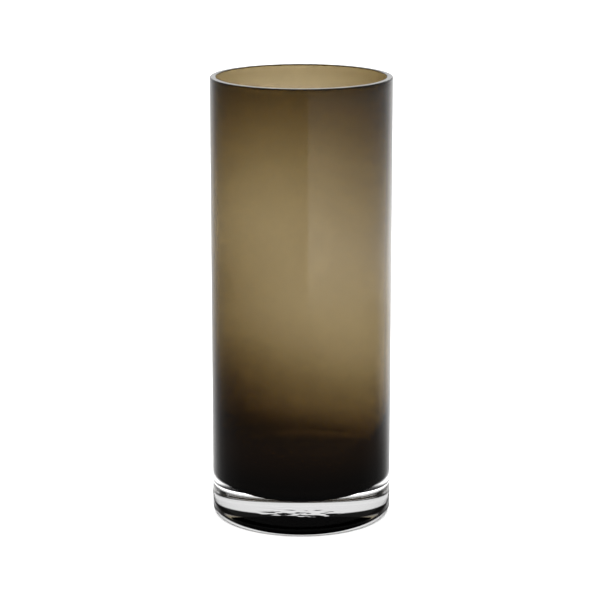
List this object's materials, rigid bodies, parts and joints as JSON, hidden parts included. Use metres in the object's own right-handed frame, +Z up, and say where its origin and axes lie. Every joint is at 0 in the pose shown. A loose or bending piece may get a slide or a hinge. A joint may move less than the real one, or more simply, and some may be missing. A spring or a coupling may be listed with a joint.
{
  "type": "glass cylinder vase",
  "caption": "Tall cased-glass cylinder vase: smoky brown inner cup in a clear casing with a heavy clear base and a hollow underside.",
  "frame": {"origin": "middle of the foot, on the surface that the vase stands on", "axes": "+Z up along the vase's axis, towards the open rim; X and Y are any two square directions, because the vase is round"},
  "size_m": [0.1214, 0.1214, 0.3],
  "materials": {
    "clear_glass": "polished clear soda glass, fire-polished outside, with a cut rim and a rough mark under the base",
    "brown_glass": "polished smoky brown transparent glass"
  },
  "bodies": {
    "root": {"clear_casing": "clear_glass", "colour_cup": "brown_glass"}
  },
  "joints": []
}
